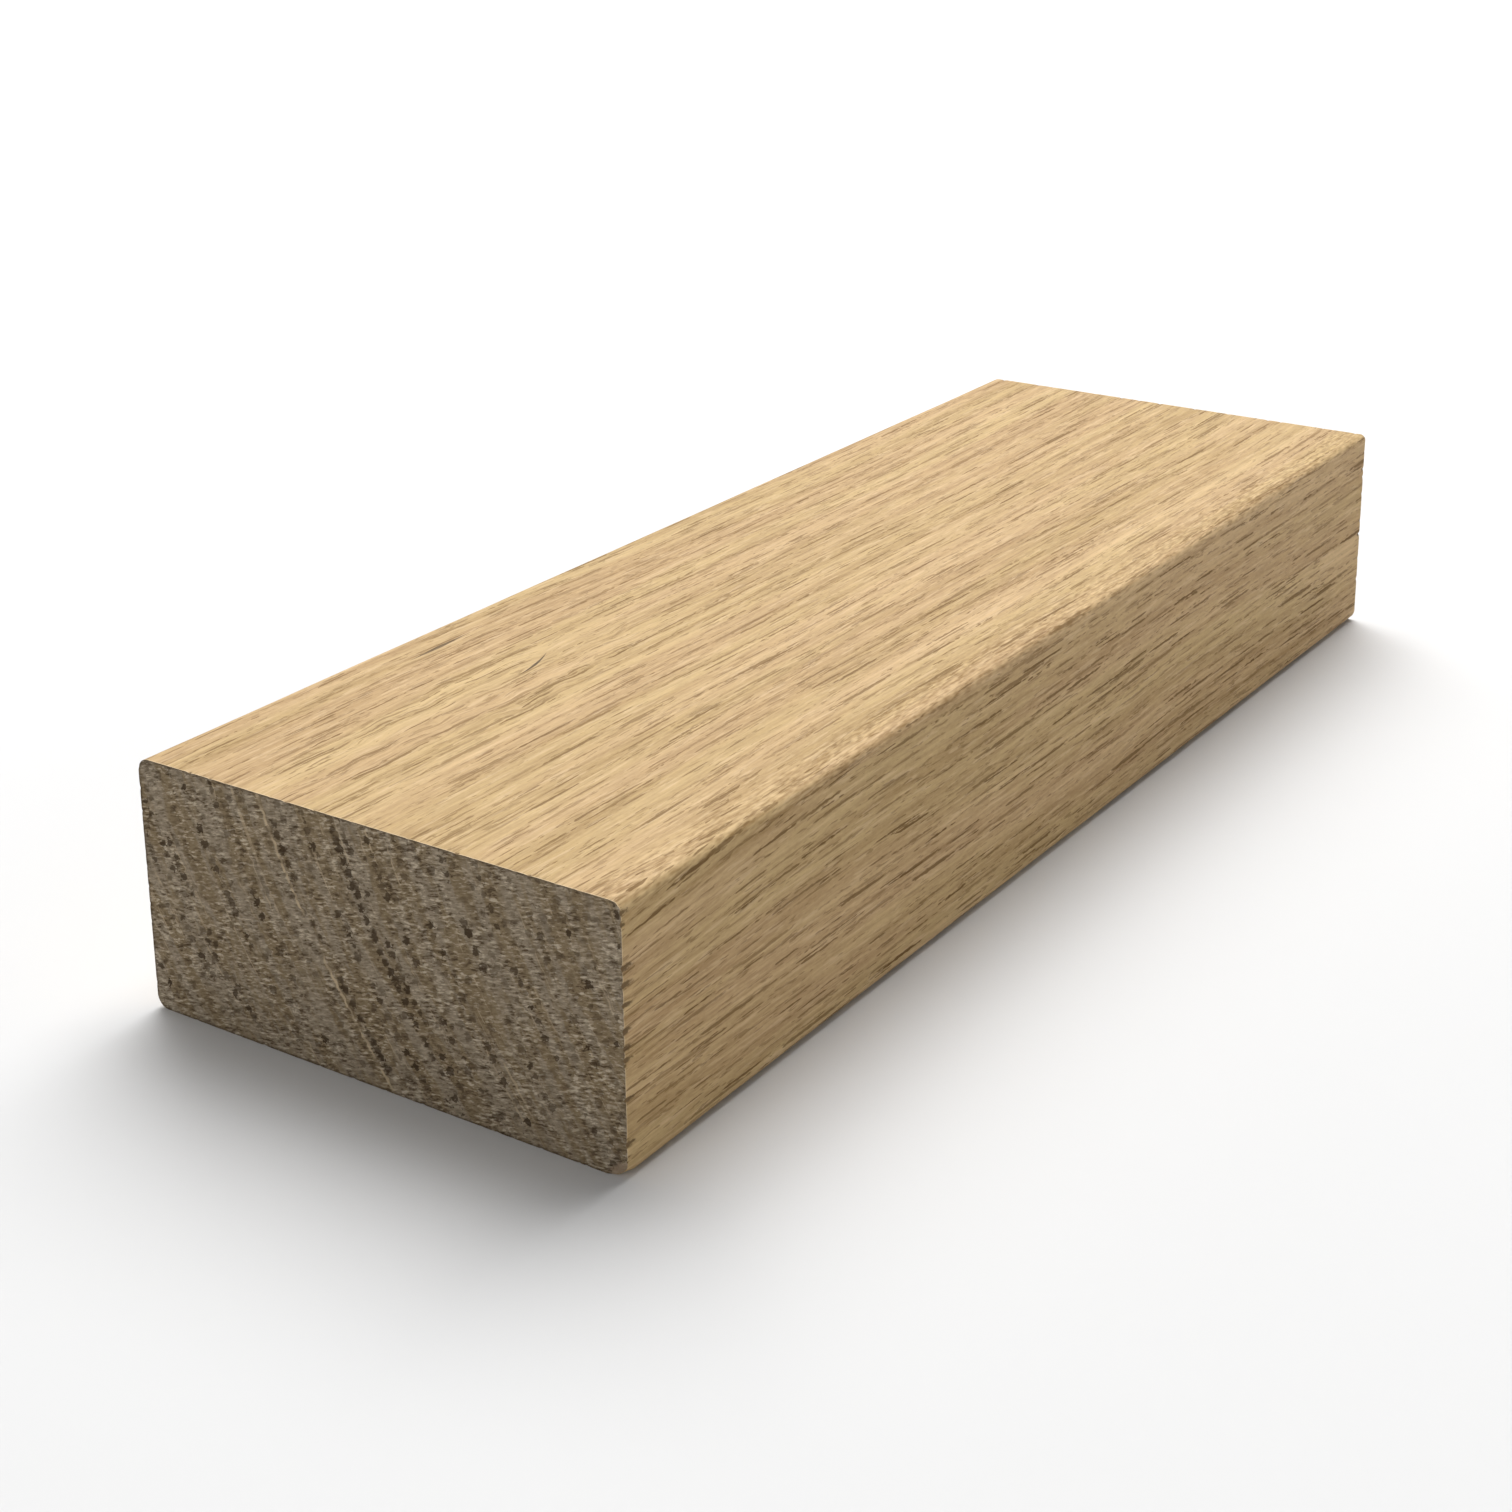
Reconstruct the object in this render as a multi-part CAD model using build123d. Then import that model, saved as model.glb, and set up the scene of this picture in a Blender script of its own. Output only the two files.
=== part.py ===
from build123d import *
import os

# Driving sizes in millimetres
RAIL_LENGTH = 190.0  # between the two sawn ends
RAIL_WIDTH = 65.0  # across the flat face that the spindles stand on
RAIL_HEIGHT = 30.0  # from the underside to that face
EDGE_RADIUS = 1.5  # easing of three long edges, which the sawn ends do not have
CRISP_EDGE_RADIUS = 0.8  # lighter easing of the fourth, the top edge at -Y

# The rail lies along X with its width along Y. The origin is the middle of its underside.
RAIL_AXIS_PLANE = Plane.YZ
SECTION_CENTRE_HEIGHT = RAIL_HEIGHT / 2
CRISP_CORNER = (-RAIL_WIDTH / 2, RAIL_HEIGHT, 0)  # across and up in the section's own plane


def planed_section():
    """Four-sided section as it leaves the planer, with each corner eased to an arc."""
    with BuildSketch(RAIL_AXIS_PLANE) as section:
        with Locations((0, SECTION_CENTRE_HEIGHT)):
            Rectangle(RAIL_WIDTH, RAIL_HEIGHT)
        eased_corners = section.vertices().sort_by_distance(CRISP_CORNER)[1:]
        fillet(eased_corners, EDGE_RADIUS)
        crisp_corner = section.vertices().sort_by_distance(CRISP_CORNER)[0]
        fillet(crisp_corner, CRISP_EDGE_RADIUS)
    return section.sketch


def base_rail():
    """The section run lengthways, then cross-cut square at both ends, which stay crisp."""
    return extrude(planed_section(), amount=RAIL_LENGTH / 2, both=True)


def write_part(part, node):
    """One file for each node, named after it."""
    os.makedirs("parts", exist_ok=True)
    part.label = node
    export_step(part, f"parts/{node}.step")


write_part(base_rail(), "base_rail")
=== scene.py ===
import math
import random

import bpy
from mathutils import Matrix, Vector, kdtree, noise


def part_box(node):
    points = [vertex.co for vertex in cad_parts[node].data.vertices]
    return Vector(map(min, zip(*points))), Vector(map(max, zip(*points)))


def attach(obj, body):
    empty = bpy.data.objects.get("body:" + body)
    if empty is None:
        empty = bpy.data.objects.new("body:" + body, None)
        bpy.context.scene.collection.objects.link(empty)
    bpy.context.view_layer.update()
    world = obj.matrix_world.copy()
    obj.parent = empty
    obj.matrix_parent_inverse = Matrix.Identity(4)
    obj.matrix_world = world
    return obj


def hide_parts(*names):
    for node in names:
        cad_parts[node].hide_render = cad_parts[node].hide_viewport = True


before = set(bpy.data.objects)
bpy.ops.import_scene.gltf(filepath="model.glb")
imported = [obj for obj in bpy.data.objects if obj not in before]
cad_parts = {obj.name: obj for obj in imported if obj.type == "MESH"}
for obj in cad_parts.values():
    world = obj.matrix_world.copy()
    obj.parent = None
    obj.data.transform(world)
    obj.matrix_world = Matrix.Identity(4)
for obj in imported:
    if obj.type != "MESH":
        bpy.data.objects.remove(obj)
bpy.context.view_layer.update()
rail_low, rail_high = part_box("base_rail")

MM = 0.001

# The rail's own sizes come from its solid, apart from the easing, which its box doesn't show
LENGTH = rail_high[0] - rail_low[0]
WIDTH = rail_high[1] - rail_low[1]
HEIGHT = rail_high[2] - rail_low[2]
EASING = 1.5 * MM
CRISP_EASING = 0.8 * MM

# The same in plain millimetres, which the pores and the materials count in, and a level just
# below the top face
HALF_LENGTH_MM = LENGTH / 2 / MM
HALF_WIDTH_MM = WIDTH / 2 / MM
HALF_HEIGHT_MM = HEIGHT / 2 / MM
TOP_LEVEL_MM = HEIGHT / MM - 1

# How finely the timber's surface is divided
FLAT_STEP = 0.3 * MM
EASING_STEPS = 6
MARGIN_STEPS = 4
END_STEP = 0.2 * MM
MIDDLE_STEP = 4.5 * MM
STEP_GROWTH = 1.25

# Relief that the planer and the saw leave, always cut inwards from the true section
PLANED_RELIEF = 0.012 * MM
PLANED_SIZE = (30 * MM, 1.1 * MM)
EASING_WANDER = 0.10 * MM
WANDER_SIZE = (17 * MM, 4 * MM)
SAWN_RELIEF = 0.10 * MM
ARRIS_RELIEF = SAWN_RELIEF * 0.5
ARRIS_SIZE = 0.8 * MM
PORE_DEPTH = 0.22 * MM
TEAR_DEPTH = 0.26 * MM

# Saw marks on the ends: width, height and share of the coarse ones and of the fine ones
COARSE_MARKS = (1.6 * MM, 0.55 * MM, 0.6)
FINE_MARKS = (0.7 * MM, 0.35 * MM, 0.4)
FINE_MARK_SHIFT = 5

# The crisp arris is worn rounder where it meets the -X end: how deep, how wide, how far along,
# and the part of its profile that counts as full depth
WEAR_DEPTH, WEAR_WIDTH, WEAR_LENGTH = 0.16 * MM, 1.4 * MM, 5.0 * MM
WEAR_FULL = 0.8

# A chip off the lowest corner of the -Y side at the -X end: across, up, along and how deep
CHIP_ACROSS, CHIP_UP, CHIP_ALONG, CHIP_DEPTH = 2.6 * MM, 2.1 * MM, 1.8 * MM, 0.45 * MM

# Fibres torn along the end arrises: a seed for each end, and from one tear to the next, its width
# and its length in millimetres, and its share of the full depth
TEAR_SEEDS = {-1: 11, 1: 23}
TEAR_GAP, TEAR_WIDTH, TEAR_LENGTH, TEAR_SHARE = (1.5, 8.0), (0.31, 0.42), (0.3, 1.0), (0.15, 0.5)

# Larger torn ticks on the -Y side, by their heights at each end
TICK_HEIGHTS = {-1: (29.0, 27.6, 22.9, 21.2, 19.0, 16.3, 14.3, 13.2, 8.8, 4.0), 1: (24.7, 14.2)}
TICK_WIDTH, TICK_LENGTH, TICK_SHARE = (0.32, 0.5), (0.8, 2.4), (0.5, 0.9)

# A tear reaches less than this many points of the outline
TEAR_REACH = 4

# The rays and the lines of pores lean across the section: 60 degrees from the wide face at
# mid height, steeper above and flatter below
RAY_LEAN = 0.577
RAY_CURVE = -0.00695
RAY_SINE, RAY_COSINE = 0.866, 0.5

# Rays whose pores stand out, and a pale one, by how far they pass from the middle of the section
BOLD_RAYS = (-6.9, 2.05)
PALE_RAY, PALE_RAY_EDGES = -7.9, (0.10, 0.28)

# The other rays: a seed for each end, from one ray to the next, how far outside the section they
# begin, and the chance of a strong one
PORE_SEEDS = {-1: 5, 1: 17}
RAY_GAP, RAY_MARGIN = (0.9, 1.9), 18
STRONG_CHANCE = 0.3

# Pores of the bold rays, of the strong ones and of the faint ones: spacing, radius and darkness
BOLD_SPACING, BOLD_RADIUS, BOLD_DARKNESS = 1.15, (0.45, 0.66), (0.8, 1.0)
STRONG_SPACING, STRONG_DARKNESS = (1.1, 1.7), (0.3, 1.0)
FAINT_SPACING, FAINT_DARKNESS = (0.9, 2.2), (0.0, 0.55)
PORE_RADIUS = (0.32, 0.60)

# How unevenly pores follow each other along a ray, with a gap now and then
PORE_START, PORE_STEP, PORE_SCATTER = (0, 2), (0.6, 1.3), 0.1
SKIP_CHANCE, PORE_SKIP = 0.15, (1, 4)

# Grain that doesn't run straight, in millimetres: a slow sway of the whole, a dip at one end of
# the -Y side, and a curly patch on the top, as x and y of its middle and half its size
SWAY_SIZE, SWAY_SWING = (90, 40, 40), 3.5
DIP_DEPTH, DIP_LENGTH, DIP_LOW, DIP_START = 5.0, 38.0, 8.0, -23.0
CURL_PLACE, CURL_SIZE, CURL_SWING = (-62, 12), (38, 9), 2.2
CURL_WAVE = (7, 4, 5)

# A short crack in that patch, and one long pore by the far edge: x and y of the middle, half the
# length, slope, bend and half the width
CRACK = (-50, 13.6, 3.8, 0.24, 0.03, 0.20)
LONG_PORE = (-51.5, 27.0, 5.5, 0.02, 0.0, 0.32)
LONG_PORE_SHARE = 0.8

# Spring growth, with its rows of open pores, comes once in this many millimetres of radius
RING_SPACING = 1.45
RING_WANDER, RING_WANDER_SIZE = 2.6, (160, 30, 3.0)
RING_FADE_SIZE = (50, 20, 1.2)

# Streaks of the planed wood: length along the grain, width, and depth where that differs
BAND_SIZE = (220, 40, 2.6)
STREAK_SIZE = (38, 1.5)
FLECK_SIZE = (5, 0.55)
LINE_SIZE = (26, 0.45)
GRAIN_SIZE = (0.8, 0.28)
RIPPLE_SIZE = (1.6, 0.40)
WARMTH_SIZE = (80, 6.0)

# Where the noise of some of them starts to count and where it is full
BAND_EDGES, FLECK_EDGES = (0.34, 0.66), (0.36, 0.64)
LINE_EDGES, WARMTH_EDGES = (0.38, 0.62), (0.36, 0.64)

# How much each of them changes the tone, which goes from 0, dark, to 1, pale
MIDDLE_TONE = 0.56
BAND_WEIGHT, STREAK_WEIGHT, FLECK_WEIGHT, LINE_WEIGHT = 0.20, 0.8, 0.22, 0.17
GRAIN_WEIGHT, SPRING_WEIGHT, RIPPLE_WEIGHT = 0.5, -0.14, 1.7

# The rippled strip of the top face fades in between these two places across the rail
RIPPLE_START, RIPPLE_FULL = -26.5, -29.5

# How much fainter the pores and the fine grain are on the top face than on the sides
TOP_CALM = 0.22

# Cut vessels of the planed wood: size of a cell, radius of the dash in it, and a shift that keeps
# the kinds apart
SMALL_DASHES = ((9, 0.50), 0.15, 400.0)
MEDIUM_DASHES = ((15, 0.62), 0.19, 0.0)
LARGE_DASHES = ((23, 1.0), 0.25, 200.0)
DASH_RAGGED_SIZE, DASH_RAGGED = (1.3, 0.32), 1.7

# Ragged ticks among them, and pale islands: size, shift, and where the noise starts and fills
TICKS = ((3.0, 0.38), 700.0, 0.59, 0.63)
PALE_ISLANDS = ((6.0, 0.5), 300.0, 0.57, 0.66)

# Colours of the planed wood, in linear light
DARK_WOOD, PALE_WOOD = (0.330, 0.205, 0.088, 1), (0.626, 0.450, 0.248, 1)
YELLOW_TINT, PINK_TINT = (0.993, 0.998, 0.92, 1), (1.007, 0.985, 0.97, 1)
ISLAND_COLOR = (0.72, 0.53, 0.32, 1)
VESSEL_COLOR = (0.16, 0.088, 0.030, 1)
CRACK_COLOR = (0.05, 0.028, 0.012, 1)
TORN_COLOR = (0.12, 0.072, 0.032, 1)
FRAYED_COLOR = (0.85, 0.70, 0.48, 1)
TORN_RAGGED_SIZE, TORN_EDGES = (0.5, 0.3, 0.3), (0.05, 0.35)

# How strongly each of those colours covers what is under it
ISLAND_COVER, VESSEL_COVER, CRACK_COVER, TORN_COVER, FRAYED_COVER = 0.35, 0.95, 0.85, 0.85, 0.5
TICK_COVER, SMALL_COVER = 0.45, 0.85

# The sawn ends in millimetres: patches of tint, rays and their breaks, flecks that the saw
# leaves, busier patches of them, and the ragged rims of the pores
TINT_SIZE = (1, 2.6, 12)
RAY_SIZE, BREAK_SIZE = (1, 0.6, 30), (1, 1.5, 2.5)
SPECK_SIZE, BUSY_SIZE = (3, 1.0, 0.26), (3, 1.6, 3.5)
PORE_RAGGED_SIZE, PORE_RAGGED = (3, 0.42, 0.3), 2.2

# Where the noise of each starts to show and where it is full
TINT_EDGES, RAY_EDGES, BREAK_EDGES = (0.42, 0.58), (0.62, 0.70), (0.35, 0.6)
LIGHT_EDGES, DARK_EDGES, BUSY_EDGES = (0.53, 0.66), (0.48, 0.35), (0.38, 0.62)
# The rim's edges set where the painted shade of the arris starts and where it is full, near the end's
# edge
PIT_EDGES, RIM_SHADE_EDGES = (0.20, 0.42), (0.72, 1.0)

# Those flecks rise this much to one side
SPECK_TILT = 0.18

# Colours of the sawn ends, in linear light
BROWN_END, GREY_END = (0.225, 0.167, 0.098, 1), (0.266, 0.214, 0.150, 1)
LIGHT_SPECK, DARK_SPECK = (0.50, 0.42, 0.31, 1), (0.085, 0.058, 0.034, 1)
RAY_COLOR = (0.50, 0.39, 0.25, 1)
PIT_COLOR = (0.046, 0.028, 0.014, 1)
# The rim colour is painted shade: the dark line of a shadowed arris round the end
RIM_SHADE_COLOR = (0.065, 0.044, 0.026, 1)
CHIP_COLOR = (0.32, 0.235, 0.16, 1)

# How strongly they cover what is under them, the faint rays' share beside the pale one, and the
# share of the flecks that is left where the end is least busy
SPECK_COVER, RAY_COVER, PIT_COVER, CHIP_COVER = 0.95, 0.9, 0.92, 0.8
FAINT_RAY_SHARE, CALM_SHARE = 0.6, 0.45

# The painted shade of a shadowed arris, a darker rim round an end, is nearly gone along the -Y side:
# from, to, and its strength at each
RIM_SHADE_START, RIM_SHADE_FULL = 1.5 - HALF_WIDTH_MM, 3.5 - HALF_WIDTH_MM
RIM_SHADE_WEAK, RIM_SHADE_STRONG = 0.15, 0.7

# Gloss, and the strength and depth of the fine bumps, of the planed faces and the sawn ends
PLANED_SPECULAR, PLANED_BUMP = 0.12, (0.8, 0.08 * MM)
SAWN_SPECULAR, SAWN_BUMP = 0.1, (0.7, 0.10 * MM)

# A pale round floor that sweeps up into a low wall, in metres
STAGE_RADIUS, STAGE_BEND, STAGE_WALL = 1.2, 0.6, 0.3
STAGE_SIDES = 96
STAGE_BEND_STEPS = 16
STAGE_COLOR = (0.72, 0.72, 0.72, 1)
STAGE_ROUGHNESS, STAGE_SPECULAR = 0.9, 0.1

# Soft boxes, in metres and watts: place, target, size and power
RAIL_MIDDLE = (0, 0, HEIGHT / 2)
OVERHEAD_LIGHT = ((0.75, 0.42, 1.4), RAIL_MIDDLE, 1.5, 46.0)
SIDE_LIGHT = ((0.40, -0.40, 0.10), (0.06, 0, 0.01), 0.18, 0.08)
END_LIGHT = ((-1.0, -0.15, 0.75), RAIL_MIDDLE, 0.8, 2.6)
AIR_COLOR, AIR_STRENGTH = (1.0, 1.0, 1.0, 1), 0.03

# The camera: the photograph is cropped from a taller one, so its optical centre is above its middle
PHOTO_SIDE = 1512
FOCAL_PIXELS = 2578.3
OPTICAL_CENTRE_Y = 500
CAMERA_PLACE = Vector((-9.025, -5.568, 4.630)) * HEIGHT
CAMERA_AZIMUTH, CAMERA_ELEVATION, CAMERA_ROLL = -55.970, 17.376, -0.536
SENSOR_WIDTH = 36.0
NEAREST_SEEN = 0.01


def section_outline():
    """Points round the section with their outward normals, from the bottom flat and anticlockwise."""
    across = round((WIDTH - 2 * EASING) / FLAT_STEP)
    up = round((HEIGHT - 2 * EASING) / FLAT_STEP)
    eased = [(1, -1, EASING), (1, 1, EASING), (-1, 1, CRISP_EASING), (-1, -1, EASING)]
    corners = [(a * (WIDTH / 2 - r), HEIGHT / 2 + b * (HEIGHT / 2 - r), r) for a, b, r in eased]
    points = []
    for side, (y, z, radius) in enumerate(corners):
        before_y, before_z, before_radius = corners[side - 1]
        steps = up if side % 2 else across
        turn = math.radians(90 * side - 90)
        ny, nz = math.cos(turn), math.sin(turn)
        start_y, start_z = before_y + ny * before_radius, before_z + nz * before_radius
        end_y, end_z = y + ny * radius, z + nz * radius
        for i in range(steps):
            part = i / steps
            place = (start_y + (end_y - start_y) * part, start_z + (end_z - start_z) * part)
            points.append((*place, ny, nz, 0.0))
        for i in range(EASING_STEPS):
            part = i / EASING_STEPS
            angle = turn + math.radians(90) * part
            ny, nz = math.cos(angle), math.sin(angle)
            bend = math.sin(math.pi * part) * radius / EASING
            points.append((y + ny * radius, z + nz * radius, ny, nz, bend))
    return points, across, up


def stations():
    """Places along the rail, close together at the sawn ends."""
    places, step, x = [0.0], END_STEP, 0.0
    while x + step < LENGTH / 2 - MIDDLE_STEP / 2:
        x += step
        places.append(x)
        step = min(step * STEP_GROWTH, MIDDLE_STEP)
    near = [place - LENGTH / 2 for place in places]
    return near + [0.0] + [-x for x in reversed(near)]


def string_pores(draw, ray, spacing, radii, darkness):
    """Pores strung along one ray as (y, z, radius, darkness)."""
    strung = []
    rise = -HALF_HEIGHT_MM + draw.uniform(*PORE_START)
    while rise < HALF_HEIGHT_MM:
        rise += draw.uniform(*PORE_STEP) * spacing
        if draw.random() < SKIP_CHANCE:
            rise += draw.uniform(*PORE_SKIP)
        across = ray - RAY_LEAN * rise - RAY_CURVE * rise * rise + draw.gauss(0, PORE_SCATTER)
        if abs(across) < HALF_WIDTH_MM and abs(rise) < HALF_HEIGHT_MM:
            place = (-across * MM, HEIGHT / 2 + rise * MM)
            strung.append((*place, draw.uniform(*radii) * MM, draw.uniform(*darkness)))
    return strung


def pore_lines(end):
    """All the pores of one end."""
    draw = random.Random(PORE_SEEDS[end])
    pores = []
    for ray in BOLD_RAYS:
        pores += string_pores(draw, ray, BOLD_SPACING, BOLD_RADIUS, BOLD_DARKNESS)
    ray = -HALF_WIDTH_MM - RAY_MARGIN
    while ray < HALF_WIDTH_MM + RAY_MARGIN:
        ray += draw.uniform(*RAY_GAP)
        strong = draw.random() < STRONG_CHANCE
        spacing = draw.uniform(*(STRONG_SPACING if strong else FAINT_SPACING))
        darkness = STRONG_DARKNESS if strong else FAINT_DARKNESS
        pores += string_pores(draw, ray, spacing, PORE_RADIUS, darkness)
    return pores


def tears(end, points):
    """Places along the end arris where the saw lifted fibres: outline index, width, length, share."""
    draw = random.Random(TEAR_SEEDS[end])
    made = []
    index = 0
    while index < len(points):
        index += round(draw.uniform(*TEAR_GAP) * MM / FLAT_STEP)
        width = draw.uniform(*TEAR_WIDTH) * MM
        length = draw.uniform(*TEAR_LENGTH) * MM
        made.append((index % len(points), width, length, draw.uniform(*TEAR_SHARE)))
    for height in TICK_HEIGHTS[end]:
        gaps = [math.hypot(y + WIDTH / 2, z - height * MM) for y, z, _, _, _ in points]
        width = draw.uniform(*TICK_WIDTH) * MM
        length = draw.uniform(*TICK_LENGTH) * MM
        made.append((gaps.index(min(gaps)), width, length, draw.uniform(*TICK_SHARE)))
    return made


def steps_apart(a, b, count):
    """How many points apart two places on the closed outline are."""
    gap = abs(a - b)
    return min(gap, count - gap)


def tears_near_points(end, points):
    """For each point of the outline, the tears that can reach it."""
    torn, count = tears(end, points), len(points)
    return [[t for t in torn if steps_apart(i, t[0], count) < TEAR_REACH] for i in range(count)]


def tear_amount(torn, index, count, inward):
    """How much of the fibre is gone at a point of the outline, this far in from the end."""
    amount = 0.0
    for place, width, length, share in torn:
        gap = steps_apart(index, place, count) * FLAT_STEP
        if gap < width and inward < length:
            amount = max(amount, share * (1 - gap / width) * (1 - inward / length))
    return amount


def wear(end, y, z, inward):
    """How deep the crisp arris is worn near the -X end."""
    gap = math.hypot(y + WIDTH / 2, z - HEIGHT)
    if end > 0 or gap > WEAR_WIDTH:
        return 0.0
    near = 1 - gap / WEAR_WIDTH
    rounded = min(1.0, near * near * (3 - 2 * near) / WEAR_FULL)
    return WEAR_DEPTH * rounded * math.exp(-inward / WEAR_LENGTH)


def chip(end, y, z, inward=0.0):
    """How much is chipped off near the lowest corner at the -X end, from 0 to 1."""
    if end > 0:
        return 0.0
    reach = math.hypot((y + WIDTH / 2) / CHIP_ACROSS, z / CHIP_UP, inward / CHIP_ALONG)
    return max(0.0, 1 - reach)


def fibre(x, y, z, size):
    """Smooth noise drawn out along the grain, from 0 to 1."""
    along, across = size
    return (1 + noise.noise(Vector((x / along, y / across, z / across)))) / 2


class Surface:
    """The timber's points and faces as they are made, with what the materials need on the points."""

    def __init__(self):
        self.verts, self.faces, self.slots = [], [], []
        self.values = {"pit": [], "dark": [], "rip": [], "rim": []}

    def point(self, place, **values):
        self.verts.append(place)
        for name, numbers in self.values.items():
            numbers.append(values.get(name, 0.0))
        return len(self.verts) - 1

    def face(self, ids, slot):
        self.faces.append(ids)
        self.slots.append(slot)


def add_long_faces(surface, points, places):
    """The planed faces and the eased edges, as one ring of points at each place along the rail."""
    count = len(points)
    torn = {end: tears_near_points(end, points) for end in (-1, 1)}
    for x in places:
        end = -1 if x < 0 else 1
        inward = LENGTH / 2 - abs(x)
        for index, (y, z, ny, nz, bend) in enumerate(points):
            rip = tear_amount(torn[end][index], index, count, inward)
            lost = CHIP_DEPTH * chip(end, y, z, inward)
            depth = PLANED_RELIEF * fibre(x, y, z, PLANED_SIZE)
            depth += EASING_WANDER * bend * fibre(x, y, z, WANDER_SIZE)
            depth += TEAR_DEPTH * rip
            depth += wear(end, y, z, inward)
            depth += lost
            saw = 0.0
            if inward == 0:
                rough = 1 + noise.noise(Vector((y, z, end)) / ARRIS_SIZE)
                saw = ARRIS_RELIEF * rough / 2 + lost
            place = (x - end * saw, y - ny * depth, z - nz * depth)
            surface.point(place, rip=rip, rim=1.0 if inward == 0 else 0.0)
    for row in range(len(places) - 1):
        a, b = row * count, (row + 1) * count
        for i in range(count):
            j = (i + 1) % count
            surface.face((a + i, a + j, b + j, b + i), 0)


def saw_marks(y, z, shift, marks):
    """One kind of saw mark on an end: noise wider than it is high, times its share."""
    width, height, share = marks
    return share * noise.noise(Vector((y / width, z / height, shift)))


def sawn_points(surface, end):
    """A function that adds one rough point of a sawn end, sunk where it meets a pore."""
    pores = pore_lines(end)
    tree = kdtree.KDTree(len(pores))
    for i, (y, z, _, _) in enumerate(pores):
        tree.insert((0, y, z), i)
    tree.balance()

    def sawn(y, z, rim=0.0):
        place, i, _ = tree.find((0, y, z))
        _, _, radius, dark = pores[i]
        gap = ((place[1] - y) ** 4 + (place[2] - z) ** 4) ** 0.25
        pit = max(0.0, 1 - (gap / radius) ** 2)
        rough = saw_marks(y, z, end, COARSE_MARKS) + saw_marks(y, z, end + FINE_MARK_SHIFT, FINE_MARKS)
        depth = SAWN_RELIEF * (1 + rough) / 2 + PORE_DEPTH * pit + CHIP_DEPTH * chip(end, y, z)
        return surface.point((end * (LENGTH / 2 - depth), y, z), pit=pit, dark=dark, rim=rim)

    return sawn


def grid_rim(grid, across, up):
    """The grid's own rim, in the outline's order, with each corner repeated for the eased edge."""
    rim = [grid[0][i] for i in range(across)] + [grid[0][across]] * EASING_STEPS
    rim += [grid[k][across] for k in range(up)] + [grid[up][across]] * EASING_STEPS
    rim += [grid[up][across - i] for i in range(across)] + [grid[up][0]] * EASING_STEPS
    rim += [grid[up - k][0] for k in range(up)] + [grid[0][0]] * EASING_STEPS
    return rim


def add_end(surface, end, outer, across, up):
    """One sawn end: a grid over the flat, and rings from the grid out to the arris."""
    sawn = sawn_points(surface, end)
    half, top = WIDTH / 2 - EASING, HEIGHT - EASING
    columns = [-half + 2 * half * i / across for i in range(across + 1)]
    rows = [EASING + (top - EASING) * k / up for k in range(up + 1)]
    grid = [[sawn(y, z) for y in columns] for z in rows]
    made = []
    for k in range(up):
        for i in range(across):
            made.append((grid[k][i], grid[k][i + 1], grid[k + 1][i + 1], grid[k + 1][i]))

    inner = grid_rim(grid, across, up)
    rings = [inner]
    for step in range(1, MARGIN_STEPS):
        part = step / MARGIN_STEPS
        ring = []
        for inside, outside in zip(inner, outer):
            _, y, z = surface.verts[inside]
            _, outer_y, outer_z = surface.verts[outside]
            ring.append(sawn(y + (outer_y - y) * part, z + (outer_z - z) * part, part))
        rings.append(ring)
    rings.append(outer)
    for low, high in zip(rings, rings[1:]):
        for i in range(len(outer)):
            j = (i + 1) % len(outer)
            ids = (low[i], high[i], high[j], low[j])
            made.append(ids[:3] if low[i] == low[j] else ids)
    for face in made:
        surface.face(face if end > 0 else face[::-1], 1)


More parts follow.
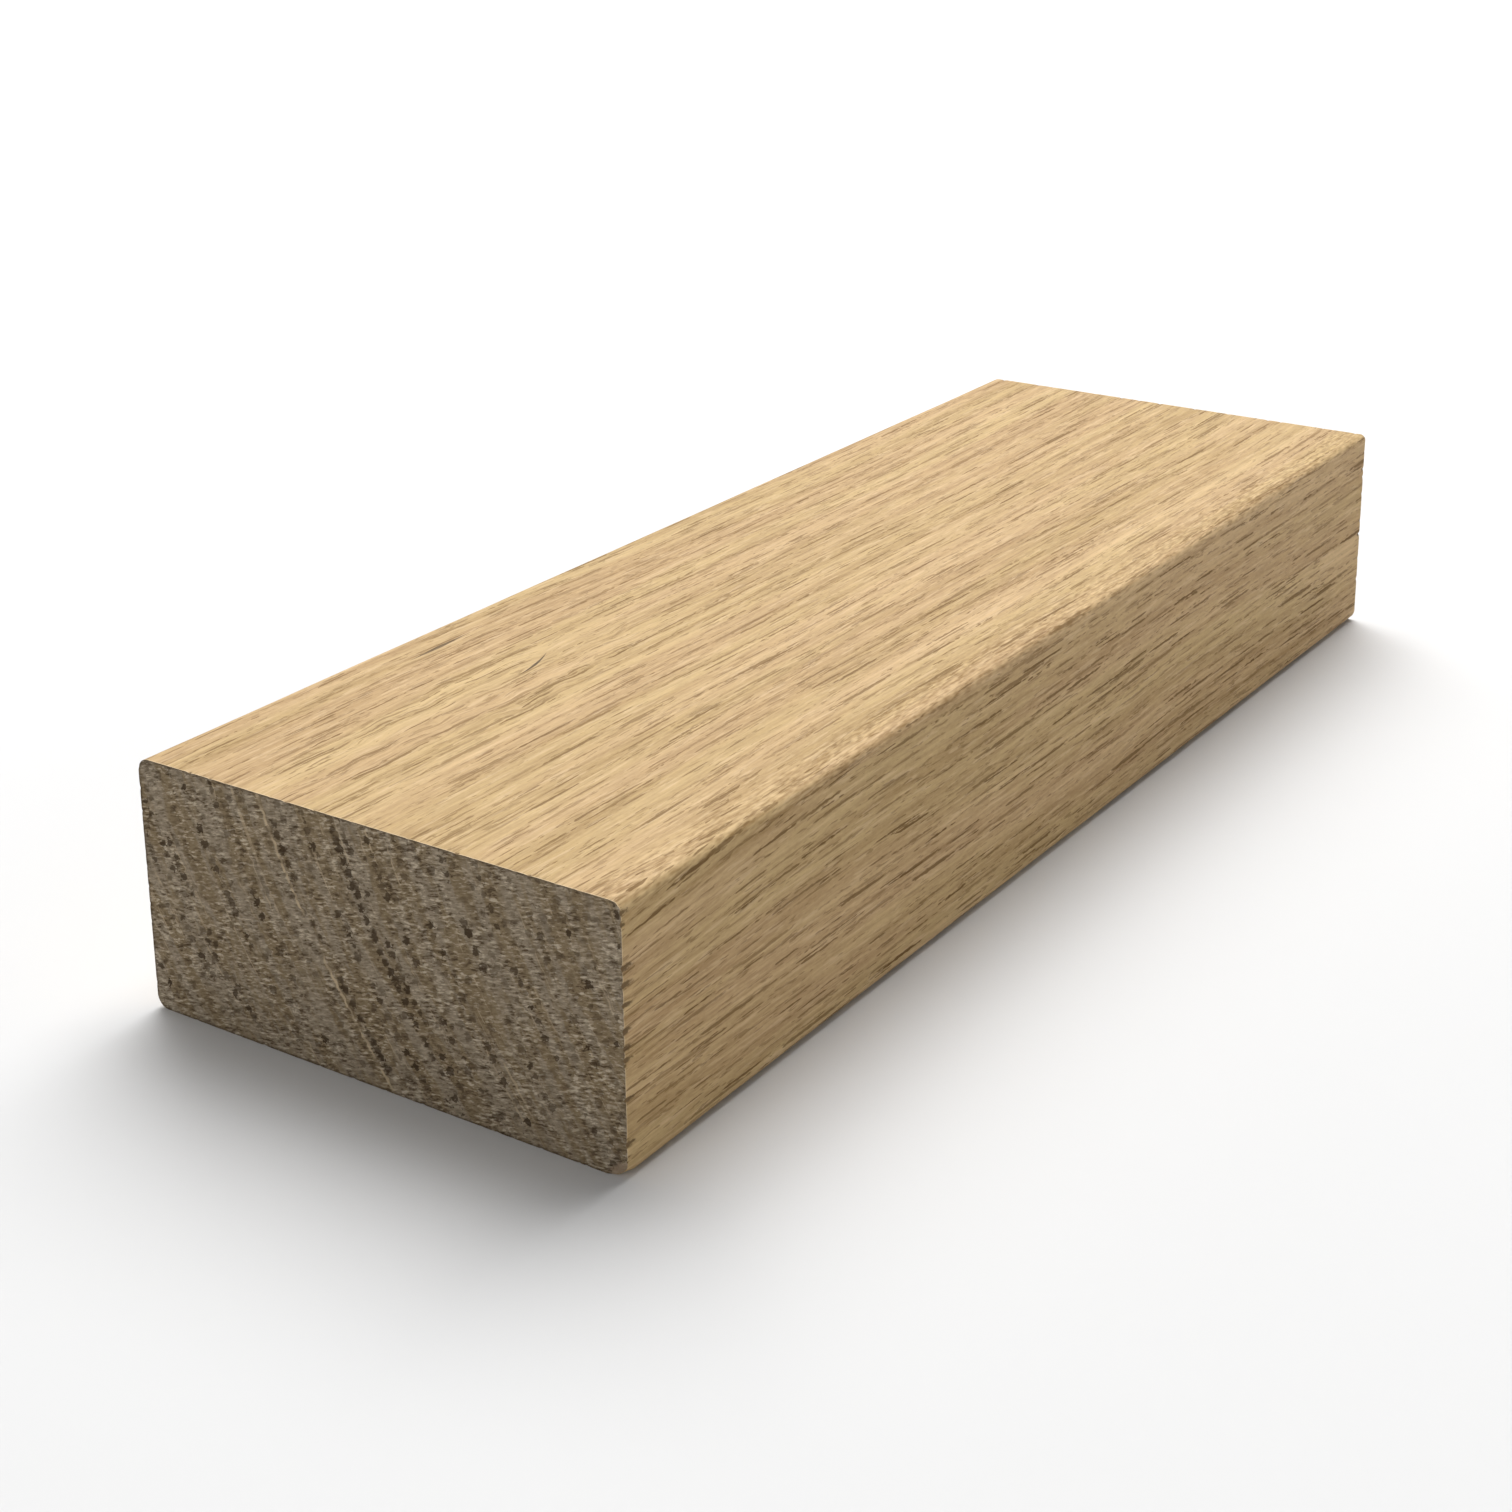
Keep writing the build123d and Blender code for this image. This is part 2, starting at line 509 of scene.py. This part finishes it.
class Graph:
    """A material's nodes, built from short calls."""

    def __init__(self, name):
        self.material = bpy.data.materials.new(name)
        self.material.use_nodes = True
        self.tree = self.material.node_tree
        self.tree.nodes.clear()

    def node(self, kind, values=(), **settings):
        made = self.tree.nodes.new("ShaderNode" + kind)
        for key, value in settings.items():
            setattr(made, key, value)
        for key, value in dict(values).items():
            self.feed(made.inputs[key], value)
        return made

    def feed(self, socket, value):
        if isinstance(value, bpy.types.NodeSocket):
            self.tree.links.new(value, socket)
        else:
            socket.default_value = value

    def math(self, operation, a, b=0.0, c=0.0):
        return self.node("Math", {0: a, 1: b, 2: c}, operation=operation).outputs[0]

    def add(self, a, b):
        return self.math("ADD", a, b)

    def minus(self, a, b):
        return self.math("SUBTRACT", a, b)

    def times(self, a, b):
        return self.math("MULTIPLY", a, b)

    def most(self, a, b):
        return self.math("MAXIMUM", a, b)

    def swing(self, value, amount):
        """How far a noise is from its middle, times an amount."""
        return self.times(self.minus(value, 0.5), amount)

    def sized(self, place, sizes):
        """The place scaled so that one unit is one feature of this size."""
        x, y, z = [self.times(part, 1 / size) for part, size in zip(place, sizes)]
        return self.node("CombineXYZ", {0: x, 1: y, 2: z}).outputs[0]

    def noise(self, vector, detail=2.0, roughness=0.5):
        values = {"Vector": vector, "Scale": 1.0, "Detail": detail, "Roughness": roughness}
        return self.node("TexNoise", values).outputs["Fac"]

    def cells(self, vector):
        made = self.node("TexVoronoi", {"Vector": vector, "Scale": 1.0})
        spread = self.node("SeparateColor", {0: made.outputs["Color"]})
        return made.outputs["Distance"], list(spread.outputs)

    def remap(self, value, low, high, to_low=0.0, to_high=1.0, smooth=True):
        kind = "SMOOTHSTEP" if smooth else "LINEAR"
        values = {0: value, 1: low, 2: high, 3: to_low, 4: to_high}
        return self.node("MapRange", values, interpolation_type=kind, clamp=True).outputs[0]

    def mix(self, factor, a, b):
        made = self.node("Mix", {0: factor, 6: a, 7: b}, data_type="RGBA", clamp_factor=True)
        return made.outputs[2]

    def tinted(self, color, tint):
        values = {0: 1.0, 6: color, 7: tint}
        return self.node("Mix", values, data_type="RGBA", blend_type="MULTIPLY").outputs[2]

    def point_value(self, name):
        return self.node("Attribute", attribute_name=name).outputs["Fac"]

    def bump(self, height, strength, distance):
        values = {"Strength": strength, "Distance": distance, "Height": height}
        return self.node("Bump", values).outputs[0]

    def finished(self, color, rough, specular, normal=None):
        """The material with its one shader."""
        values = {"Base Color": color, "Roughness": rough, "Specular IOR Level": specular}
        if normal is not None:
            values["Normal"] = normal
        shader = self.node("BsdfPrincipled", values)
        self.node("OutputMaterial", {0: shader.outputs[0]})
        return self.material


def place_in_mm(g):
    """The point on the rail in millimetres as x, y and z."""
    place = g.node("TexCoord").outputs["Object"]
    scaled = g.node("VectorMath", {0: place, 3: 1 / MM}, operation="SCALE").outputs[0]
    parts = g.node("SeparateXYZ", {0: scaled}).outputs
    return parts[0], parts[1], parts[2]


def on_top(g):
    """1 on the top face and 0 below it."""
    _, _, z = place_in_mm(g)
    return g.math("GREATER_THAN", z, TOP_LEVEL_MM)


def wood_place(g, wander=1.0):
    """The point in the tree: along the fibres, across the rays, and out along them."""
    x, y, z = place_in_mm(g)
    slow = g.sized((x, y, z), SWAY_SIZE)
    field = g.node("TexNoise", {"Vector": slow, "Scale": 1.0, "Detail": 1.5, "Roughness": 0.4})
    sway = g.node("SeparateColor", {0: field.outputs["Color"]}).outputs
    y = g.add(y, g.swing(sway[0], SWAY_SWING * wander))
    z = g.add(z, g.swing(sway[1], SWAY_SWING * wander))
    z = g.add(z, g.times(grain_dip(g), DIP_DEPTH * wander))
    y = g.add(y, g.times(curl(g), wander))
    rise = g.minus(z, HALF_HEIGHT_MM)
    curve = g.math("MULTIPLY_ADD", rise, RAY_CURVE, RAY_LEAN)
    u = g.math("MULTIPLY_ADD", rise, curve, g.times(y, -1.0))
    v = g.math("MULTIPLY_ADD", rise, RAY_SINE, g.times(y, RAY_COSINE))
    return x, u, v


def grain_dip(g):
    """How much the grain dips towards the -X end, near the top of the -Y side, from 0 to 1."""
    x, y, z = place_in_mm(g)
    fading = g.math("EXPONENT", g.math("DIVIDE", g.add(x, HALF_LENGTH_MM), -DIP_LENGTH))
    high = g.remap(z, DIP_LOW, HEIGHT / MM)
    front = g.remap(y, DIP_START, -HALF_WIDTH_MM)
    return g.times(g.times(fading, high), front)


def curl(g):
    """A patch of curly grain on the wide face: a quick sidelong swing, in millimetres."""
    x, y, z = place_in_mm(g)
    along = g.math("DIVIDE", g.minus(x, CURL_PLACE[0]), CURL_SIZE[0])
    across = g.math("DIVIDE", g.minus(y, CURL_PLACE[1]), CURL_SIZE[1])
    spread = g.add(g.times(along, along), g.times(across, across))
    inside = g.remap(spread, 0.1, 1.0, 1.0, 0.0)
    wave = g.noise(g.sized((x, y, z), CURL_WAVE), 1)
    return g.times(g.swing(wave, CURL_SWING), inside)


def dark_line(g, middle_x, middle_y, reach, slope, bend, half_width):
    """One dark line in the wide face, at its widest in the middle. Gives how dark, from 0 to 1."""
    x, y, _ = place_in_mm(g)
    along = g.minus(x, middle_x)
    line = g.math("MULTIPLY_ADD", along, g.math("MULTIPLY_ADD", along, bend, slope), middle_y)
    off = g.math("ABSOLUTE", g.minus(y, line))
    width = g.remap(g.math("ABSOLUTE", along), 0.0, reach, half_width, 0.0, smooth=False)
    open_here = g.remap(g.minus(off, width), -0.04, 0.06, 1.0, 0.0)
    return g.times(g.times(open_here, on_top(g)), g.math("GREATER_THAN", width, 0.001))


def streaks(g, wood, size, detail=2.0, roughness=0.5, shift=0.0):
    """Noise drawn out along the grain. A size without a depth is as deep as it is wide."""
    along, across, *depth = size
    out = depth[0] if depth else across
    x, u, v = wood
    return g.noise(g.sized((g.add(x, shift), u, v), (along, across, out)), detail, roughness)


def pore_dashes(g, wood, share, cell, radius, shift):
    """Cut vessels: short ragged dashes along the grain, radius in mm. Gives how dark, from 0 to 1."""
    x, u, v = wood
    along, across = cell
    gap, (chance, size, dark) = g.cells(g.sized((g.add(x, shift), u, v), (along, across, across)))
    ragged = g.minus(streaks(g, wood, DASH_RAGGED_SIZE, 1), 0.5)
    gap = g.math("MULTIPLY_ADD", ragged, DASH_RAGGED * radius / across, gap)
    kept = g.math("LESS_THAN", chance, share)
    reach = g.times(g.math("MULTIPLY_ADD", size, 0.8, 0.6), radius / across)
    inside = g.remap(g.math("DIVIDE", gap, reach), 0.70, 1.0, 1.0, 0.0)
    return g.times(g.times(inside, kept), g.math("MULTIPLY_ADD", dark, 0.65, 0.35))


def islands(g, wood, lift, size, shift, low, high):
    """Ragged streaks of about this size, from 0 to 1, where a noise and its lift run high."""
    raised = g.add(streaks(g, wood, size, shift=shift), lift)
    return g.remap(raised, low, high)


def weighted(g, start, *pairs):
    """A value plus each noise's swing about its middle times its weight."""
    total = start
    for value, weight in pairs:
        total = g.math("MULTIPLY_ADD", g.minus(value, 0.5), weight, total)
    return total


def spring_rows(g, wood):
    """How near a point is to the middle of a row of spring growth, from 0 to 1."""
    _, _, v = wood
    uneven = streaks(g, wood, RING_WANDER_SIZE)
    turns = g.math("MULTIPLY_ADD", uneven, RING_WANDER, g.times(v, 1 / RING_SPACING))
    wave = g.math("SINE", g.times(turns, 2 * math.pi))
    fade = g.remap(streaks(g, wood, RING_FADE_SIZE, 1), 0.30, 0.55, 0.3, 1.0)
    return g.times(g.math("MULTIPLY_ADD", wave, 0.5, 0.5), fade)


def planed_tone(g, wood, spring, flecks, grain, calm):
    """How pale the planed wood is before its pores, from 0 to 1."""
    bands = g.remap(streaks(g, wood, BAND_SIZE, 1.5), *BAND_EDGES)
    broad = streaks(g, wood, STREAK_SIZE)
    lines = g.remap(streaks(g, wood, LINE_SIZE), *LINE_EDGES)
    tone = weighted(g, MIDDLE_TONE, (bands, BAND_WEIGHT), (broad, STREAK_WEIGHT))
    tone = weighted(g, tone, (flecks, FLECK_WEIGHT), (lines, LINE_WEIGHT))
    tone = weighted(g, tone, (grain, g.times(calm, GRAIN_WEIGHT)), (spring, SPRING_WEIGHT))
    _, y, _ = place_in_mm(g)
    strip = g.times(g.remap(y, RIPPLE_START, RIPPLE_FULL), on_top(g))
    return weighted(g, tone, (streaks(g, wood, RIPPLE_SIZE, 1), g.times(strip, RIPPLE_WEIGHT)))


def planed_color(g, wood, tone):
    """The colour of the planed wood before its pores, with slow changes of hue and pale islands."""
    color = g.mix(g.remap(tone, 0.0, 1.0, smooth=False), DARK_WOOD, PALE_WOOD)
    warmth = g.remap(streaks(g, wood, WARMTH_SIZE, 1), *WARMTH_EDGES)
    color = g.tinted(color, g.mix(warmth, YELLOW_TINT, PINK_TINT))
    pale = islands(g, wood, 0.0, *PALE_ISLANDS)
    return g.mix(g.times(pale, ISLAND_COVER), color, ISLAND_COLOR)


def open_pores(g, wood, spring):
    """The vessels that the planer cut open, thickest in spring growth. Gives how dark, from 0 to 1."""
    share = g.math("MULTIPLY_ADD", spring, 1.0, 0.2)
    lift = g.math("MULTIPLY_ADD", spring, 0.08, -0.06)
    ticks = g.times(islands(g, wood, lift, *TICKS), TICK_COVER)
    small = g.times(pore_dashes(g, wood, share, *SMALL_DASHES), SMALL_COVER)
    medium = pore_dashes(g, wood, share, *MEDIUM_DASHES)
    large = pore_dashes(g, wood, share, *LARGE_DASHES)
    return g.most(g.most(ticks, small), g.most(medium, large))


def torn_color(g, color):
    """The colour with dark torn fibres and a pale frayed line at the end arris."""
    ragged = g.noise(g.sized(place_in_mm(g), TORN_RAGGED_SIZE), 1)
    rip = g.point_value("rip")
    frayed_edge = g.swing(ragged, g.math("MINIMUM", g.times(rip, 3.0), 0.6))
    torn = g.remap(g.add(rip, frayed_edge), *TORN_EDGES)
    color = g.mix(g.times(torn, TORN_COVER), color, TORN_COLOR)
    frayed = g.times(g.point_value("rim"), g.minus(1.0, torn))
    return g.mix(g.times(frayed, FRAYED_COVER), color, FRAYED_COLOR)


def planed_material():
    """Bare planed long grain: straw brown, with rows of ragged dark pores and pale flecks along it."""
    g = Graph("planed_hardwood")
    wood = wood_place(g)
    spring = spring_rows(g, wood)
    flecks = g.remap(streaks(g, wood, FLECK_SIZE, roughness=0.6), *FLECK_EDGES)
    grain = streaks(g, wood, GRAIN_SIZE, roughness=0.6)
    calm = g.math("MULTIPLY_ADD", on_top(g), -TOP_CALM, 1.0)

    color = planed_color(g, wood, planed_tone(g, wood, spring, flecks, grain, calm))
    pores = open_pores(g, wood, spring)
    color = g.mix(g.times(pores, g.times(calm, VESSEL_COVER)), color, VESSEL_COLOR)
    cracks = g.most(dark_line(g, *CRACK), g.times(dark_line(g, *LONG_PORE), LONG_PORE_SHARE))
    color = g.mix(g.times(cracks, CRACK_COVER), color, CRACK_COLOR)
    color = torn_color(g, color)

    height = g.minus(weighted(g, 0.0, (flecks, 0.3), (grain, 0.25)), g.times(pores, 0.9))
    rough = g.remap(g.add(g.times(flecks, 0.5), g.times(pores, 0.5)), 0.1, 0.8, 0.60, 0.80)
    return g.finished(color, rough, PLANED_SPECULAR, g.bump(height, *PLANED_BUMP))


def speckled_color(g, u, v, specks):
    """The colour of a sawn end with its light and dark flecks, busier in some patches."""
    x, _, _ = place_in_mm(g)
    tint = g.noise(g.sized((0.0, u, v), TINT_SIZE), 3, 0.6)
    color = g.mix(g.remap(tint, *TINT_EDGES), BROWN_END, GREY_END)
    busy = g.remap(g.noise(g.sized((x, u, v), BUSY_SIZE)), *BUSY_EDGES, CALM_SHARE, 1.0)
    light = g.times(g.remap(specks, *LIGHT_EDGES), g.times(busy, SPECK_COVER))
    dark = g.times(g.remap(specks, *DARK_EDGES), g.times(busy, SPECK_COVER))
    return g.mix(dark, g.mix(light, color, LIGHT_SPECK), DARK_SPECK)


def pale_rays(g, u, v):
    """The pale rays of a sawn end, one of them bolder, all broken here and there, from 0 to 1."""
    rays = g.remap(g.noise(g.sized((0.0, u, v), RAY_SIZE)), *RAY_EDGES)
    breaks = g.remap(g.noise(g.sized((0.0, u, v), BREAK_SIZE), 1), *BREAK_EDGES)
    chosen = g.remap(g.math("ABSOLUTE", g.minus(u, PALE_RAY)), *PALE_RAY_EDGES, 1.0, 0.0)
    return g.times(g.most(g.times(rays, FAINT_RAY_SHARE), chosen), breaks)


def chipped(g, ragged):
    """Where the chip shows plain wood on the sawn end, from 0 to 1."""
    x, y, z = place_in_mm(g)
    across = g.math("DIVIDE", g.add(y, HALF_WIDTH_MM), CHIP_ACROSS / MM)
    up = g.math("DIVIDE", z, CHIP_UP / MM)
    reach = g.math("SQRT", g.add(g.times(across, across), g.times(up, up)))
    reach = g.add(reach, g.swing(ragged, 0.5))
    return g.times(g.remap(reach, 0.75, 0.95, 1.0, 0.0), g.math("LESS_THAN", x, 0.0))


def sawn_material():
    """Bare cross-cut end grain: grey brown and rough, with dark pores strung along pale rays and
    painted shade along its edge.
    """
    g = Graph("sawn_end_grain")
    x, y, z = place_in_mm(g)
    _, u, v = wood_place(g, 0.0)
    tilted = g.math("MULTIPLY_ADD", y, SPECK_TILT, z)
    specks = g.noise(g.sized((x, y, tilted), SPECK_SIZE), roughness=0.6)
    ragged = g.noise(g.sized((x, y, z), PORE_RAGGED_SIZE))

    color = speckled_color(g, u, v, specks)
    color = g.mix(g.times(pale_rays(g, u, v), RAY_COVER), color, RAY_COLOR)
    pit = g.add(g.point_value("pit"), g.swing(ragged, PORE_RAGGED))
    pores = g.times(g.remap(pit, *PIT_EDGES), g.point_value("dark"))
    color = g.mix(g.times(pores, PIT_COVER), color, PIT_COLOR)
    # Painted shade: a dark line round the end's edge, as if the arris were shadowed, weakest along the
    # -Y side
    rim = g.remap(g.add(g.point_value("rim"), g.swing(ragged, 0.5)), *RIM_SHADE_EDGES)
    strength = g.remap(y, RIM_SHADE_START, RIM_SHADE_FULL, RIM_SHADE_WEAK, RIM_SHADE_STRONG)
    color = g.mix(g.times(rim, strength), color, RIM_SHADE_COLOR)
    color = g.mix(g.times(chipped(g, ragged), CHIP_COVER), color, CHIP_COLOR)

    height = g.minus(weighted(g, 0.0, (specks, 1.0), (ragged, 0.5)), g.times(pores, 0.9))
    rough = g.remap(specks, 0.3, 0.7, 0.9, 0.75)
    return g.finished(color, rough, SAWN_SPECULAR, g.bump(height, *SAWN_BUMP))


def add_object(name, mesh, *materials):
    """A named object in the scene with these materials in its slots."""
    for material in materials:
        mesh.materials.append(material)
    made = bpy.data.objects.new(name, mesh)
    bpy.context.scene.collection.objects.link(made)
    return made


def sharpen_arrises(mesh, first, last):
    """Marks the edges of the two end arrises, whose points are these two runs, as sharp."""
    for edge in mesh.edges:
        a, b = edge.vertices
        if (a in first and b in first) or (a in last and b in last):
            edge.use_edge_sharp = True


def make_timber():
    """The rail's timber as one closed mesh, which stands for the plain solid."""
    points, across, up = section_outline()
    places = stations()
    count = len(points)
    first = range(count)
    last = range((len(places) - 1) * count, len(places) * count)
    surface = Surface()
    add_long_faces(surface, points, places)
    add_end(surface, -1, first, across, up)
    add_end(surface, 1, last, across, up)

    mesh = bpy.data.meshes.new("rail_timber")
    mesh.from_pydata(surface.verts, [], surface.faces)
    mesh.polygons.foreach_set("material_index", surface.slots)
    for name, numbers in surface.values.items():
        mesh.attributes.new(name, "FLOAT", "POINT").data.foreach_set("value", numbers)
    mesh.shade_smooth()
    sharpen_arrises(mesh, first, last)
    timber = add_object("rail_timber", mesh, planed_material(), sawn_material())
    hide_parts("base_rail")
    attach(timber, "root")


def make_stage():
    """A pale round floor that sweeps up into a wall."""
    profile = [(STAGE_RADIUS / 2, 0.0)]
    for i in range(STAGE_BEND_STEPS + 1):
        angle = math.radians(90) * i / STAGE_BEND_STEPS
        out, up = STAGE_BEND * math.sin(angle), STAGE_BEND * (1 - math.cos(angle))
        profile.append((STAGE_RADIUS + out, up))
    profile.append((STAGE_RADIUS + STAGE_BEND, STAGE_BEND + STAGE_WALL))
    turns = [2 * math.pi * i / STAGE_SIDES for i in range(STAGE_SIDES)]
    verts = [(0, 0, 0)]
    for r, z in profile:
        verts += [(r * math.cos(turn), r * math.sin(turn), z) for turn in turns]
    faces = [(0, 1 + i, 1 + (i + 1) % STAGE_SIDES) for i in range(STAGE_SIDES)]
    for ring in range(len(profile) - 1):
        low, high = 1 + ring * STAGE_SIDES, 1 + (ring + 1) * STAGE_SIDES
        for i in range(STAGE_SIDES):
            j = (i + 1) % STAGE_SIDES
            faces.append((low + i, high + i, high + j, low + j))
    mesh = bpy.data.meshes.new("studio_floor")
    mesh.from_pydata(verts, [], faces)
    mesh.shade_smooth()
    pale = Graph("pale_floor").finished(STAGE_COLOR, STAGE_ROUGHNESS, STAGE_SPECULAR)
    add_object("studio_floor", mesh, pale)


def soft_light(name, place, target, size, power):
    """A square soft box at a place, turned to a target."""
    data = bpy.data.lights.new(name, "AREA")
    data.shape = "SQUARE"
    data.size = size
    data.energy = power
    made = bpy.data.objects.new(name, data)
    made.location = place
    made.rotation_euler = (Vector(target) - Vector(place)).to_track_quat("-Z", "Y").to_euler()
    bpy.context.scene.collection.objects.link(made)


def make_light():
    """One large soft box overhead, smaller ones for the long side and the near end, and pale air."""
    soft_light("overhead_softbox", *OVERHEAD_LIGHT)
    soft_light("side_softbox", *SIDE_LIGHT)
    soft_light("end_softbox", *END_LIGHT)
    world = bpy.data.worlds.new("studio_air")
    bpy.context.scene.world = world
    world.use_nodes = True
    background = world.node_tree.nodes["Background"]
    background.inputs["Color"].default_value = AIR_COLOR
    background.inputs["Strength"].default_value = AIR_STRENGTH
    bpy.context.scene.view_settings.view_transform = "Standard"


def make_camera():
    """The photograph's viewpoint and framing."""
    azimuth, elevation, roll = map(math.radians, (CAMERA_AZIMUTH, CAMERA_ELEVATION, CAMERA_ROLL))
    flat = math.cos(elevation)
    ahead = Vector((-flat * math.sin(azimuth), flat * math.cos(azimuth), -math.sin(elevation)))
    right = ahead.cross(Vector((0, 0, 1))).normalized()
    up = right.cross(ahead)
    rolled_right = math.cos(roll) * right + math.sin(roll) * up
    rolled_up = math.cos(roll) * up - math.sin(roll) * right
    data = bpy.data.cameras.new("camera")
    data.sensor_width = SENSOR_WIDTH
    data.lens = SENSOR_WIDTH * FOCAL_PIXELS / PHOTO_SIDE
    data.shift_y = OPTICAL_CENTRE_Y / PHOTO_SIDE - 0.5
    data.clip_start = NEAREST_SEEN
    camera = bpy.data.objects.new("camera", data)
    turn = Matrix((rolled_right, rolled_up, -ahead)).transposed()
    camera.matrix_world = Matrix.Translation(CAMERA_PLACE) @ turn.to_4x4()
    bpy.context.scene.collection.objects.link(camera)
    bpy.context.scene.camera = camera


make_timber()
make_stage()
make_light()
make_camera()
